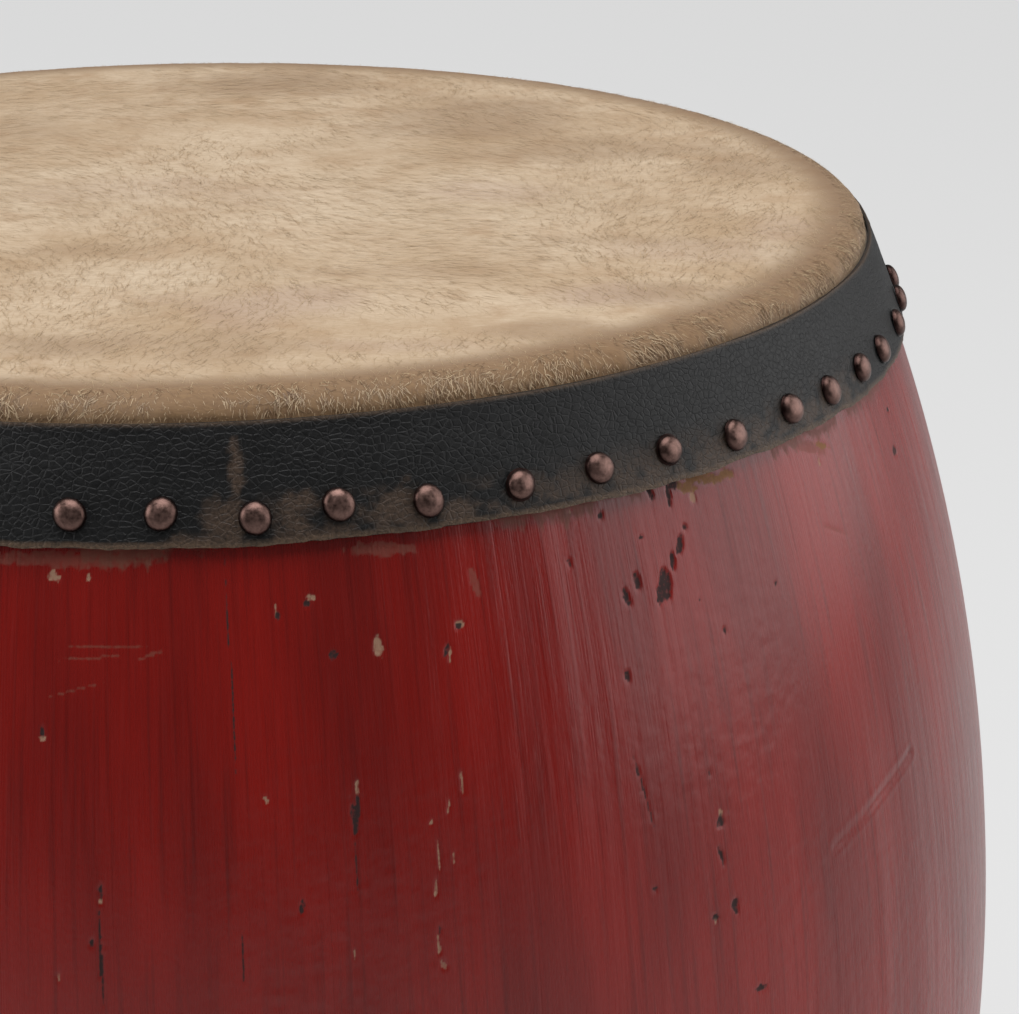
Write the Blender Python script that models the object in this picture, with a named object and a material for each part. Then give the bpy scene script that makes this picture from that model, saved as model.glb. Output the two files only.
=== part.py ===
"""Barrel drum with two tacked cowhide heads, standing on its lower head.

Metres, +Z up. The origin is the middle of the lower head's flat face.
The shell is a ring of glued curved staves. A hide is drawn over each end,
its skirt lies on the shell under a black leather band, and one row of domed
tacks goes through band and skirt into the wood.
"""
import math

import bmesh
import bpy
from mathutils import Matrix

# Shell
HEIGHT = 0.572
BELLY_RADIUS = 0.303
STAVES = 28
RIM_WALL = 0.020
BELLY_WALL = 0.016
GLUE_LINE = 0.0003

# Drum ends: the band's upper edge is the rim that the other layers fill
RIM_RADIUS = 0.250
SHOULDER_INSET = 0.013
SHOULDER_DROP = 0.008

# Hide
HIDE_FLAT = 0.0020
HIDE_SKIRT = 0.0012
HIDE_TUCK = 0.003

# Leather band
BAND_HEIGHT = 0.0345
BAND_THICKNESS = 0.0011

# Tacks
TACKS_PER_STAVE = 2
TACK_RISE = 0.0085
TACK_HEAD_RADIUS = 0.0051
TACK_DOME = 0.0030
TACK_RIM = 0.0004
SHANK_SIDE = 0.0020
SHANK_IN_WOOD = 0.010
SHANK_POINT = 0.002
STRIP_HEIGHT = 0.0040
STRIP_THICKNESS = 0.0004

CLEARANCE = 0.0003

# How finely the curves are cut into flats
TACK_SIDES = 6
SHOULDER_STEPS = 2
STAVE_STEPS = 4

# Flats around the drum: one for each tack, so a tack sits on the middle of one
FLATS = STAVES * TACKS_PER_STAVE
FLAT_ANGLE = 2 * math.pi / FLATS
STAVE_ANGLE = 2 * math.pi / STAVES

# Layers on the wood at the ends, as distances from it along the radius
SKIRT_INNER = CLEARANCE
SKIRT_OUTER = SKIRT_INNER + HIDE_SKIRT
STRIP_INNER = SKIRT_OUTER + CLEARANCE
STRIP_OUTER = STRIP_INNER + STRIP_THICKNESS
BAND_INNER = STRIP_OUTER + CLEARANCE
BAND_OUTER = BAND_INNER + BAND_THICKNESS

# Levels of the upper end; the lower end is the upper one turned over
MIDDLE = HEIGHT / 2
HIDE_UNDERSIDE = HEIGHT - HIDE_FLAT
WOOD_TOP = HIDE_UNDERSIDE - CLEARANCE
BAND_TOP = HEIGHT - SHOULDER_DROP
BAND_BOTTOM = BAND_TOP - BAND_HEIGHT
SKIRT_BOTTOM = BAND_BOTTOM + HIDE_TUCK
TACK_LEVEL = BAND_BOTTOM + TACK_RISE
CREST_RADIUS = RIM_RADIUS - SHOULDER_INSET
RIM_WOOD_RADIUS = RIM_RADIUS - BAND_OUTER


def bulge(belly_radius, rim_radius, level):
    """Radius at a level of the arc from the belly to the band's upper edge."""
    reach = BAND_TOP - MIDDLE
    swell = belly_radius - rim_radius
    arc_radius = (reach ** 2 + swell ** 2) / (2 * swell)
    away = level - MIDDLE
    return belly_radius - arc_radius + math.sqrt(arc_radius ** 2 - away ** 2)


def shell_outside(level):
    return bulge(BELLY_RADIUS, RIM_WOOD_RADIUS, level)


def shell_inside(level):
    return bulge(BELLY_RADIUS - BELLY_WALL, RIM_WOOD_RADIUS - RIM_WALL, level)


def under_band(level, layer):
    """Radius of a layer between the band's edges, where the shell is a straight cone."""
    upper = shell_outside(BAND_TOP)
    lower = shell_outside(BAND_BOTTOM)
    share = (BAND_TOP - level) / BAND_HEIGHT
    return upper + (lower - upper) * share + layer


def shoulder(side_radius, top_level):
    """Quarter ellipse from the side at the band's upper edge up to the crest."""
    points = []
    for step in range(SHOULDER_STEPS + 1):
        turn = math.pi / 2 * step / SHOULDER_STEPS
        radius = CREST_RADIUS + (side_radius - CREST_RADIUS) * math.cos(turn)
        points.append((radius, BAND_TOP + (top_level - BAND_TOP) * math.sin(turn)))
    return points


def plain_material(name, color, roughness, metallic=0.0):
    material = bpy.data.materials.new(name)
    material.use_nodes = True
    shader = material.node_tree.nodes["Principled BSDF"]
    shader.inputs["Base Color"].default_value = (*color, 1.0)
    shader.inputs["Roughness"].default_value = roughness
    shader.inputs["Metallic"].default_value = metallic
    return material


def new_object(name, mesh, material=None):
    made = bpy.data.objects.new(name, mesh)
    bpy.context.scene.collection.objects.link(made)
    if material and not mesh.materials:
        mesh.materials.append(material)
    return made


def mesh_of(name, shape, smooth_angle):
    bmesh.ops.recalc_face_normals(shape, faces=shape.faces)
    mesh = bpy.data.meshes.new(name)
    shape.to_mesh(mesh)
    shape.free()
    mesh.shade_smooth()
    mesh.set_sharp_from_angle(angle=smooth_angle)
    return mesh


def ring_of_points(shape, radius, level):
    ring = []
    for flat in range(FLATS):
        angle = flat * FLAT_ANGLE
        ring.append(shape.verts.new((radius * math.cos(angle), radius * math.sin(angle), level)))
    return ring


def join_rings(shape, one, other):
    count = len(one)
    for index in range(count):
        after = (index + 1) % count
        shape.faces.new((one[index], one[after], other[after], other[index]))


def turned_loop(name, outline):
    """A ring with flats around it, turned from a closed outline of (radius, level)."""
    shape = bmesh.new()
    rings = [ring_of_points(shape, radius, level) for radius, level in outline]
    for index, ring in enumerate(rings):
        join_rings(shape, ring, rings[(index + 1) % len(rings)])
    return mesh_of(name, shape, math.radians(30))


def turned_cup(name, outline):
    """A cup with flats around it: the outline's two ends close over the axis."""
    shape = bmesh.new()
    rings = [ring_of_points(shape, radius, level) for radius, level in outline]
    for one, other in zip(rings, rings[1:]):
        join_rings(shape, one, other)
    shape.faces.new(rings[0])
    shape.faces.new(rings[-1])
    return mesh_of(name, shape, math.radians(30))


def head_mesh():
    outside = shoulder(RIM_WOOD_RADIUS + SKIRT_OUTER, HEIGHT)
    inside = shoulder(RIM_WOOD_RADIUS + SKIRT_INNER, HIDE_UNDERSIDE)
    hem = [
        (under_band(SKIRT_BOTTOM, SKIRT_OUTER), SKIRT_BOTTOM),
        (under_band(SKIRT_BOTTOM, SKIRT_INNER), SKIRT_BOTTOM),
    ]
    return turned_cup("head", outside[::-1] + hem + inside)


def conical_ring_mesh(name, top, bottom, inner, outer):
    """A strip around the drum's end between two levels and two layers."""
    outline = [
        (under_band(top, outer), top),
        (under_band(bottom, outer), bottom),
        (under_band(bottom, inner), bottom),
        (under_band(top, inner), top),
    ]
    return turned_loop(name, outline)


def stave_outline():
    """Outer and inner edges of a stave's side, each from the bottom to the top."""
    span = BAND_BOTTOM - MIDDLE
    levels = [MIDDLE + span * step / STAVE_STEPS for step in range(STAVE_STEPS + 1)]
    upper_outer = [(shell_outside(level), level) for level in levels]
    upper_outer += shoulder(RIM_WOOD_RADIUS, WOOD_TOP)
    upper_inner = [(shell_inside(level), level) for level in levels + [BAND_TOP, WOOD_TOP]]

    def whole(upper):
        lower = [(radius, HEIGHT - level) for radius, level in upper[:0:-1]]
        return lower + upper

    return whole(upper_outer), whole(upper_inner)


def stave_mesh():
    """One stave about the +X axis, its sides half a glue line in from its share."""
    shape = bmesh.new()
    outer, inner = stave_outline()

    def corner(radius, level, side):
        angle = side * (STAVE_ANGLE / 2 - math.asin(GLUE_LINE / 2 / radius))
        return shape.verts.new((radius * math.cos(angle), radius * math.sin(angle), level))

    outer_edges = {side: [corner(radius, level, side) for radius, level in outer] for side in (-1, 1)}
    inner_edges = {side: [corner(radius, level, side) for radius, level in inner] for side in (-1, 1)}
    ridge = [shape.verts.new((radius, 0, level)) for radius, level in outer]
    for side in (-1, 1):
        edge = outer_edges[side]
        for index in range(len(edge) - 1):
            shape.faces.new((ridge[index], ridge[index + 1], edge[index + 1], edge[index]))
        shape.faces.new(edge + inner_edges[side][::-1])
    left, right = inner_edges[-1], inner_edges[1]
    for index in range(len(left) - 1):
        shape.faces.new((left[index], left[index + 1], right[index + 1], right[index]))
    for end in (0, -1):
        shape.faces.new((outer_edges[-1][end], ridge[end], outer_edges[1][end], right[end], left[end]))
    return mesh_of("stave", shape, math.radians(30))


def tack_frames():
    """Where each tack of the upper end stands: its X axis points out of the band."""
    radius = under_band(TACK_LEVEL, BAND_OUTER) * math.cos(FLAT_ANGLE / 2)
    spread = shell_outside(BAND_BOTTOM) - shell_outside(BAND_TOP)
    lean = math.atan2(spread, BAND_HEIGHT)
    place = Matrix.Translation((radius, 0, TACK_LEVEL)) @ Matrix.Rotation(-lean, 4, "Y")
    for flat in range(FLATS):
        yield Matrix.Rotation((flat + 0.5) * FLAT_ANGLE, 4, "Z") @ place


def polygon_points(shape, sides, radius, reach, start=0.0):
    points = []
    for index in range(sides):
        angle = start + 2 * math.pi * index / sides
        points.append(shape.verts.new((reach, radius * math.cos(angle), radius * math.sin(angle))))
    return points


def close_between(shape, wide, narrow, narrow_start):
    """Triangles between two flat rings round one centre that differ in their counts."""
    outer = inner = 0
    while outer < len(wide) or inner < len(narrow):
        next_outer = (outer + 1) / len(wide)
        next_inner = (inner + 1) / len(narrow) + narrow_start / (2 * math.pi)
        corners = [wide[outer % len(wide)], narrow[inner % len(narrow)]]
        if inner == len(narrow) or (outer < len(wide) and next_outer <= next_inner):
            outer += 1
            corners.append(wide[outer % len(wide)])
        else:
            inner += 1
            corners.append(narrow[inner % len(narrow)])
        shape.faces.new(corners)


def add_tack(shape, frame):
    """A domed head on a square pointed shank, closed as one skin."""
    first = len(shape.verts)
    seat = CLEARANCE
    quarter = math.pi / 4
    under = polygon_points(shape, TACK_SIDES, TACK_HEAD_RADIUS, seat)
    rim = polygon_points(shape, TACK_SIDES, TACK_HEAD_RADIUS, seat + TACK_RIM)
    ring = polygon_points(shape, TACK_SIDES, TACK_HEAD_RADIUS * 0.68, seat + TACK_DOME * 0.78)
    top = shape.verts.new((seat + TACK_DOME, 0, 0))
    corner = SHANK_SIDE / math.sqrt(2)
    deep = -BAND_OUTER - SHANK_IN_WOOD
    neck = polygon_points(shape, 4, corner, seat, quarter)
    shank = polygon_points(shape, 4, corner, deep + SHANK_POINT, quarter)
    point = shape.verts.new((deep, 0, 0))
    for lower, upper in ((under, rim), (rim, ring), (neck, shank)):
        join_rings(shape, lower, upper)
    for loop, tip in ((ring, top), (shank, point)):
        for index, corner_point in enumerate(loop):
            shape.faces.new((corner_point, loop[(index + 1) % len(loop)], tip))
    close_between(shape, under, neck, quarter)
    shape.verts.ensure_lookup_table()
    bmesh.ops.transform(shape, matrix=frame, verts=shape.verts[first:])


def tack_mesh():
    shape = bmesh.new()
    for frame in tack_frames():
        add_tack(shape, frame)
    return mesh_of("tacks", shape, math.radians(50))


def hole_mesh():
    """Square pegs that cut the tacks' holes at both ends of the drum."""
    shape = bmesh.new()
    turn_over = Matrix.Translation((0, 0, HEIGHT)) @ Matrix.Rotation(math.pi, 4, "X")
    corner = (SHANK_SIDE / 2 + CLEARANCE) * math.sqrt(2)
    for frame in tack_frames():
        for end in (frame, turn_over @ frame):
            first = len(shape.verts)
            mouth = polygon_points(shape, 4, corner, BAND_THICKNESS, math.pi / 4)
            floor = polygon_points(shape, 4, corner, -BAND_OUTER - SHANK_IN_WOOD - CLEARANCE, math.pi / 4)
            join_rings(shape, mouth, floor)
            shape.faces.new(mouth)
            shape.faces.new(floor)
            shape.verts.ensure_lookup_table()
            bmesh.ops.transform(shape, matrix=end, verts=shape.verts[first:])
    return mesh_of("tack_holes", shape, math.radians(30))


def guide(name, mesh):
    """An object that only cuts or joins others, and isn't part of the drum."""
    made = new_object(name, mesh)
    made.hide_render = True
    made.display_type = "WIRE"
    return made


def boolean(made, operation, other):
    modifier = made.modifiers.new(operation.lower(), "BOOLEAN")
    modifier.operation = operation
    modifier.object = other


def turned_over(name, upper):
    """The same piece at the drum's lower end."""
    lower = new_object(name, upper.data)
    lower.rotation_euler = (math.pi, 0, 0)
    lower.location = (0, 0, HEIGHT)
    return lower


def build_shell(holes):
    lacquer = plain_material("red_lacquered_wood", (0.30, 0.012, 0.012), 0.25)
    mesh = stave_mesh()
    for index in range(STAVES):
        stave = new_object(f"stave_{index + 1:02d}", mesh, lacquer)
        stave.rotation_euler = (0, 0, (index + 0.5) * STAVE_ANGLE)
        boolean(stave, "DIFFERENCE", holes)


def build_end_pieces(holes, tacks):
    hide = plain_material("cowhide", (0.62, 0.47, 0.33), 0.60)
    leather = plain_material("black_leather", (0.02, 0.02, 0.022), 0.45)
    copper = plain_material("worn_copper", (0.45, 0.25, 0.18), 0.35, 1.0)
    band_mesh = conical_ring_mesh("band", BAND_TOP, BAND_BOTTOM, BAND_INNER, BAND_OUTER)
    strip_top = TACK_LEVEL + STRIP_HEIGHT / 2
    strip_bottom = TACK_LEVEL - STRIP_HEIGHT / 2
    strip_mesh = conical_ring_mesh("tack_strip", strip_top, strip_bottom, STRIP_INNER, STRIP_OUTER)
    head = new_object("head_top", head_mesh(), hide)
    band = new_object("band_top", band_mesh, leather)
    strip = new_object("tacks_top", strip_mesh, copper)
    for piece, lower_name in ((head, "head_bottom"), (band, "band_bottom")):
        for made in (piece, turned_over(lower_name, piece)):
            boolean(made, "DIFFERENCE", holes)
    boolean(strip, "UNION", tacks)
    boolean(turned_over("tacks_bottom", strip), "UNION", turned_tacks(tacks))


def turned_tacks(tacks):
    lower = guide("tack_bodies_bottom", tacks.data)
    lower.rotation_euler = (math.pi, 0, 0)
    lower.location = (0, 0, HEIGHT)
    return lower


def build():
    for old in list(bpy.data.objects):
        bpy.data.objects.remove(old)
    holes = guide("tack_holes", hole_mesh())
    tacks = guide("tack_bodies_top", tack_mesh())
    build_shell(holes)
    build_end_pieces(holes, tacks)


build()
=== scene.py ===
"""Looks of the red barrel drum: lacquered staves, hair-on cowhide heads, leather bands, domed tacks."""

import math

import bpy
import numpy as np
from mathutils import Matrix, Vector


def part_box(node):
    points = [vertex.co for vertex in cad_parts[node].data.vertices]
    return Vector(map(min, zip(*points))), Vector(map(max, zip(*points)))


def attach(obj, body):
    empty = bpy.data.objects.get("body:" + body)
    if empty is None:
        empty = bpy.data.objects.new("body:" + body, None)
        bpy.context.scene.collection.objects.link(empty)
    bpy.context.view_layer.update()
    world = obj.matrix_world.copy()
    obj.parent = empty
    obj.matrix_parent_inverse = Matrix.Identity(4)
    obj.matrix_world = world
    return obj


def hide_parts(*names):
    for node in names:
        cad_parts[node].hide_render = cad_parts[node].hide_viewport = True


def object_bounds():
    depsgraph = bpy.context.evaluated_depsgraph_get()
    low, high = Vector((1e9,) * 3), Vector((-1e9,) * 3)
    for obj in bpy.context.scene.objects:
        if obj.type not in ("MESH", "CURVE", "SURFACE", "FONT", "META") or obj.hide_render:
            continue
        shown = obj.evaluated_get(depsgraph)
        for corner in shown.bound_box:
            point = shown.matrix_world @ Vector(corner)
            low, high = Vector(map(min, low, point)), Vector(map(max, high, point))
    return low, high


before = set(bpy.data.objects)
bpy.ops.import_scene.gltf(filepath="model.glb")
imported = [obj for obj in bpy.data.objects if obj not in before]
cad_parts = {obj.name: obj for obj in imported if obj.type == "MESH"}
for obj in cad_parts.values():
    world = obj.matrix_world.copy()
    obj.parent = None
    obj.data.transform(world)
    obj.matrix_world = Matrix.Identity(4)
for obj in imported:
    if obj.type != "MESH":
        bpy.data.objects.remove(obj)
cad_box = [list(corner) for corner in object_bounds()]

MM = 0.001
QUARTER_TURN = math.pi / 2
FULL_TURN = 2 * math.pi
SHARP_ANGLE = math.radians(50)

# Sizes that the frame gives, in millimetres
BELLY_RADIUS, HEIGHT = cad_box[1][0] / MM, cad_box[1][2] / MM
MIDDLE = HEIGHT / 2
BAND_BOTTOM, BAND_TOP = (corner.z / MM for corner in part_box("band_top"))
STAVES = sum(name.startswith("stave_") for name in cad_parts)
TACKS = 2 * STAVES

# Sizes of single pieces, in millimetres, as the part has them
RIM_RADIUS = 250.0
LAYERS_ON_WOOD = 3.6
CLEARANCE = 0.3
HIDE_SKIRT = 1.2
HIDE_FLAT = 2.0
BAND_LEATHER = 1.1
SHOULDER_INSET = 13.0
STAVE_WALL = 18.0
TACK_RISE = 8.5
CREST_RADIUS = RIM_RADIUS - SHOULDER_INSET
RIM_WOOD = RIM_RADIUS - LAYERS_ON_WOOD
HIDE_SIDE = RIM_WOOD + CLEARANCE + HIDE_SKIRT

# The lacquer bridges the glue lines, so they stay open by a hair only
GLUE_LINE = 0.03

# The barrel's outside is an arc through the belly and both rims
ARC_REACH = BAND_TOP - MIDDLE
ARC_SWELL = BELLY_RADIUS - RIM_WOOD
ARC_RADIUS = (ARC_REACH ** 2 + ARC_SWELL ** 2) / (2 * ARC_SWELL)

# The photograph's frame and the camera that fits its outlines, in pixels and millimetres
PHOTO_WIDTH, PHOTO_HEIGHT = 1019, 1014
FOCAL_PIXELS = 3349.0
SENSOR_WIDTH = 36.0
CAMERA_PLACE = np.array([118.7, -1196.5, 867.8])
CAMERA_PITCH = 0.3351

# The stretch of a camera ray that is searched for the shell, in millimetres, and its steps
RAY_START, RAY_END, RAY_STEPS = 700.0, 1500.0, 16001


def place_camera():
    """Looks at the drum from where the photograph was taken."""
    data = bpy.data.cameras.new("camera")
    data.sensor_fit = "HORIZONTAL"
    data.sensor_width = SENSOR_WIDTH
    data.lens = FOCAL_PIXELS * SENSOR_WIDTH / PHOTO_WIDTH
    camera = bpy.data.objects.new("camera", data)
    camera.location = CAMERA_PLACE * MM
    camera.rotation_euler = (QUARTER_TURN - CAMERA_PITCH, 0, 0)
    bpy.context.scene.collection.objects.link(camera)
    bpy.context.scene.camera = camera


def shell_radius(level):
    """Outside of the barrel at a level."""
    return BELLY_RADIUS - ARC_RADIUS + np.sqrt(ARC_RADIUS ** 2 - (level - MIDDLE) ** 2)


def shell_lean(level):
    """How far the shell's outward direction tips up at a level, in radians."""
    return np.arcsin((level - MIDDLE) / ARC_RADIUS)


def photo_ray(pixel):
    """Direction from the camera through one of the photograph's pixels."""
    across = (pixel[0] - PHOTO_WIDTH / 2) / FOCAL_PIXELS
    down = (pixel[1] - PHOTO_HEIGHT / 2) / FOCAL_PIXELS
    ahead = np.array([0.0, math.cos(CAMERA_PITCH), -math.sin(CAMERA_PITCH)])
    right = np.array([1.0, 0.0, 0.0])
    return ahead + across * right - down * np.cross(right, ahead)


def seen_at(pixel, layer=0.0):
    """(azimuth, level) where the photograph's pixel lands on the shell or a layer over it.

    The azimuth is 0 towards -Y and grows towards +X. A pixel beside the shell takes the nearest
    point on its ray.
    """
    points = CAMERA_PLACE + np.linspace(RAY_START, RAY_END, RAY_STEPS)[:, None] * photo_ray(pixel)
    beyond = np.hypot(points[:, 0], points[:, 1]) - shell_radius(points[:, 2])
    inside = beyond < layer
    x, y, level = points[np.argmax(inside) if inside.any() else np.argmin(beyond)]
    return math.atan2(x, -y), level


def seen_on_head(pixel):
    """(x, y) where the photograph's pixel lands on the upper head's flat."""
    ray = photo_ray(pixel)
    hit = CAMERA_PLACE + ray * (HEIGHT - CAMERA_PLACE[2]) / ray[2]
    return hit[0], hit[1]


# Multipliers that scramble a lump's column, row, seed and their mix into its height
BY_COLUMN, BY_ROW, BY_SEED, AGAIN = 374761393, 668265263, 974634777, 1274126177
ROUGH_NOISE_REACH = 1.6


def noise(across, along, seed):
    """Smooth noise from -1 to 1 whose lumps are one unit wide."""
    column, row = np.floor(across).astype(np.int64), np.floor(along).astype(np.int64)
    right, up = across - column, along - row
    right, up = right * right * (3 - 2 * right), up * up * (3 - 2 * up)

    def lump(i, j):
        mixed = (i * BY_COLUMN + j * BY_ROW + seed * BY_SEED) & 0xFFFFFFFF
        mixed = ((mixed ^ (mixed >> 13)) * AGAIN) & 0xFFFFFFFF
        return ((mixed ^ (mixed >> 16)) & 0xFFFF) / (0xFFFF / 2) - 1

    low = lump(column, row) * (1 - right) + lump(column + 1, row) * right
    high = lump(column, row + 1) * (1 - right) + lump(column + 1, row + 1) * right
    return low * (1 - up) + high * up


def rough_noise(across, along, seed, octaves=4):
    """Noise with finer lumps on the coarse ones, each half as strong."""
    total = 0.0
    for octave in range(octaves):
        finer = 2 ** octave
        total = total + noise(across * finer, along * finer, seed + octave) / finer
    return total / ROUGH_NOISE_REACH


def layered_noise(layers, across, along, seed):
    """Sum of noises; each layer gives a height and its lumps' width across and length along."""
    return sum(height * noise(across / width, along / length, seed + step)
               for step, (height, width, length) in enumerate(layers))


def smooth_step(low, high, value):
    """0 at low, 1 at high and a soft rise between them."""
    share = np.clip((value - low) / (high - low), 0, 1)
    return share * share * (3 - 2 * share)


def make_piece(name, points, quads, polygons, material, marks):
    """A mesh piece from millimetre points, with its marks as point attributes, riding on the drum."""
    mesh = bpy.data.meshes.new(name)
    corners = np.concatenate([np.asarray(quads, np.int64).reshape(-1)] +
                             [np.asarray(polygon) for polygon in polygons])
    counts = np.concatenate([np.full(len(quads), 4), [len(polygon) for polygon in polygons]])
    mesh.vertices.add(len(points))
    mesh.vertices.foreach_set("co", (np.asarray(points) * MM).astype(np.float32).ravel())
    mesh.loops.add(len(corners))
    mesh.loops.foreach_set("vertex_index", corners.astype(np.int32))
    mesh.polygons.add(len(counts))
    mesh.polygons.foreach_set("loop_start", (np.cumsum(counts) - counts).astype(np.int32))
    for key, values in marks.items():
        kind = "FLOAT_VECTOR" if values.ndim == 2 else "FLOAT"
        channel = "vector" if values.ndim == 2 else "value"
        attribute = mesh.attributes.new(key, kind, "POINT")
        attribute.data.foreach_set(channel, values.astype(np.float32).ravel())
    mesh.update(calc_edges=True)
    mesh.validate()
    mesh.shade_smooth()
    mesh.set_sharp_from_angle(angle=SHARP_ANGLE)
    mesh.materials.append(material)
    piece = bpy.data.objects.new(name, mesh)
    bpy.context.scene.collection.objects.link(piece)
    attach(piece, "root")
    return piece


def grid_quads(rows, columns, start=0, wrap=False):
    """Faces between neighbouring points of a grid stored row by row, facing out of a turned shape."""
    last = columns if wrap else columns - 1
    row, column = np.meshgrid(np.arange(rows - 1), np.arange(last), indexing="ij")
    after = (column + 1) % columns
    corners = [row * columns + column, row * columns + after, (row + 1) * columns + after,
               (row + 1) * columns + column]
    return start + np.stack(corners, -1).reshape(-1, 4)


def around(radius, azimuth, level):
    """Points from their distance from the axis, azimuth and level."""
    return np.stack([radius * np.sin(azimuth), -radius * np.cos(azimuth), level + 0 * radius], -1)


def turned_over(ways):
    """Directions at the drum's lower end: the upper end's, turned over about the X axis."""
    return ways * np.array([1, -1, -1])


def at_lower_end(points):
    """Points at the drum's lower end from those at its upper end."""
    return turned_over(points) + np.array([0, 0, HEIGHT])


def padded(marks, extra):
    """Marks point by point, with zeros for the points behind the modelled face."""
    rows = {}
    for key, values in marks.items():
        flat = values.reshape(-1, 3) if key == "lie" else values.reshape(-1)
        rows[key] = np.concatenate([flat, np.zeros((extra,) + flat.shape[1:])])
    return rows


# Marks on the lacquer: photograph pixel, half length and half width in millimetres, lean from
# upright in degrees, depth in millimetres. The lean is positive towards the right at the top.
BARE_CHIPS = [
    (379, 647, 2.8, 1.5, 0, 0.35), (54, 577, 1.6, 1.8, 0, 0.25), (89, 577, 1.3, 0.8, 0, 0.2),
    (101, 902, 0.9, 0.7, 0, 0.25), (450, 656, 2.6, 0.5, 12, 0.3), (460, 624, 0.9, 1.6, 0, 0.3),
    (311, 598, 1.2, 1.7, 20, 0.3), (276, 611, 1.9, 0.5, 0, 0.25), (462, 782, 3.2, 0.5, 0, 0.3),
    (449, 805, 3.4, 0.4, 14, 0.3), (431, 822, 1.0, 0.5, 30, 0.2), (439, 854, 4.2, 0.45, 2, 0.3),
    (454, 857, 2.0, 0.4, 8, 0.2), (436, 888, 2.4, 0.5, 4, 0.3), (439, 945, 3.6, 0.5, -3, 0.3),
    (443, 964, 1.6, 0.8, -25, 0.3), (693, 498, 1.7, 0.9, 0, 0.4), (721, 812, 1.6, 0.7, -5, 0.2),
    (716, 921, 1.2, 0.6, 15, 0.2), (59, 977, 1.2, 0.6, 0, 0.2), (357, 789, 2.2, 0.6, 0, 0.3),
    (355, 955, 1.4, 0.5, 0, 0.2), (266, 800, 1.0, 0.6, -30, 0.2), (42, 738, 0.8, 0.9, 0, 0.2),
    (570, 512, 0.9, 0.5, 0, 0.2), (820, 462, 1.0, 0.5, 0, 0.2),
]
DARK_CHIPS = [
    (650, 491, 2.4, 0.9, -14, 0.5), (669, 496, 3.6, 0.8, 4, 0.5), (672, 484, 1.6, 2.2, 30, 0.4),
    (685, 527, 1.0, 0.8, 0, 0.5), (680, 546, 3.0, 1.3, 24, 0.5), (673, 562, 3.0, 0.9, 10, 0.5),
    (665, 585, 5.0, 2.6, 16, 0.55), (660, 597, 2.6, 0.9, 6, 0.5), (638, 582, 2.4, 1.3, 0, 0.5),
    (627, 597, 2.4, 1.2, -10, 0.5), (601, 517, 1.1, 1.0, 0, 0.4), (570, 563, 1.2, 0.8, 0, 0.35),
    (641, 538, 0.8, 0.8, 0, 0.3), (628, 677, 1.8, 1.1, -12, 0.4), (278, 616, 1.4, 0.7, 0, 0.3),
    (307, 603, 1.0, 1.2, 0, 0.35), (458, 627, 1.2, 1.0, 0, 0.35), (447, 650, 2.0, 0.9, 20, 0.3),
    (722, 856, 2.8, 1.0, -14, 0.5), (736, 905, 2.6, 1.5, 6, 0.5), (716, 918, 1.1, 1.0, 0, 0.4),
    (710, 774, 1.0, 0.6, -10, 0.35), (721, 822, 1.8, 1.5, 0, 0.4), (655, 889, 0.9, 0.8, 0, 0.3),
    (761, 988, 1.0, 2.6, 0, 0.3), (888, 410, 0.9, 1.4, 0, 0.3), (895, 451, 1.4, 1.9, 0, 0.4),
    (355, 818, 4.2, 1.1, 0, 0.35), (358, 806, 3.4, 0.8, 0, 0.3), (101, 894, 2.0, 0.6, 0, 0.3),
    (302, 906, 2.4, 0.7, 10, 0.2), (725, 630, 1.2, 0.7, 0, 0.3), (334, 655, 1.2, 1.6, 0, 0.2),
    (42, 732, 1.6, 0.7, 0, 0.25), (92, 943, 1.3, 0.6, 0, 0.3), (776, 583, 0.7, 0.6, 0, 0.2),
    (700, 600, 0.6, 0.5, 0, 0.2), (440, 930, 1.4, 0.5, 0, 0.2),
]
HAIR_CRACKS = [
    (644, 790, 11.0, 0.35, -10, 0.25), (101, 960, 15.0, 0.5, -2, 0.25), (356, 870, 9.0, 0.3, 0, 0.15),
    (637, 770, 4.0, 0.3, -8, 0.2), (243, 960, 14.0, 0.3, 2, 0.1), (232, 690, 30.0, 0.3, -1, 0.08),
]
WORN_PATCHES = [
    (70, 560, 2.2, 24.0, 0, 0.06), (381, 549, 2.0, 11.0, 4, 0.1), (806, 447, 1.8, 12.0, 22, 0.15),
    (835, 530, 0.5, 8.0, 26, 0.1), (475, 583, 5.0, 1.2, -10, 0.03), (104, 646, 0.4, 12.0, 0, 0.05),
    (90, 658, 0.4, 9.0, -4, 0.05), (150, 655, 0.6, 4.0, -20, 0.04), (75, 690, 0.4, 8.0, -15, 0.03),
]
OCHRE_PATCHES = [
    (703, 478, 1.6, 10.0, 14, 0.35), (688, 487, 1.6, 4.5, 14, 0.3), (727, 474, 1.3, 3.4, 18, 0.3),
    (822, 445, 1.0, 4.0, 24, 0.2),
]

# A mark's ragged outline, with lumps in millimetres, then shares of its half sizes: where it fades
# out, where it is full and how far off it counts
RAGGED_SHARE, RAGGED_WIDTH, RAGGED_SEED = 0.45, 1.7, 31
MARK_OUTER_EDGE, MARK_INNER_EDGE = 1.25, 0.85
MARK_REACH = 2.2

# A long dent across the grain at the right, from pixel to pixel, with sizes in millimetres and the
# lip along its sides as shares of its depth and width
DENT_START, DENT_END = (836, 846), (910, 752)
DENT_WIDTH, DENT_DEPTH = 2.6, 0.35
DENT_LIP_HEIGHT, DENT_LIP_PLACE = 0.3, 1.3
DENT_SLOPE = 3
DENT_UNEVEN, DENT_LUMPS, DENT_SEED = 0.5, 4, 8


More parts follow.
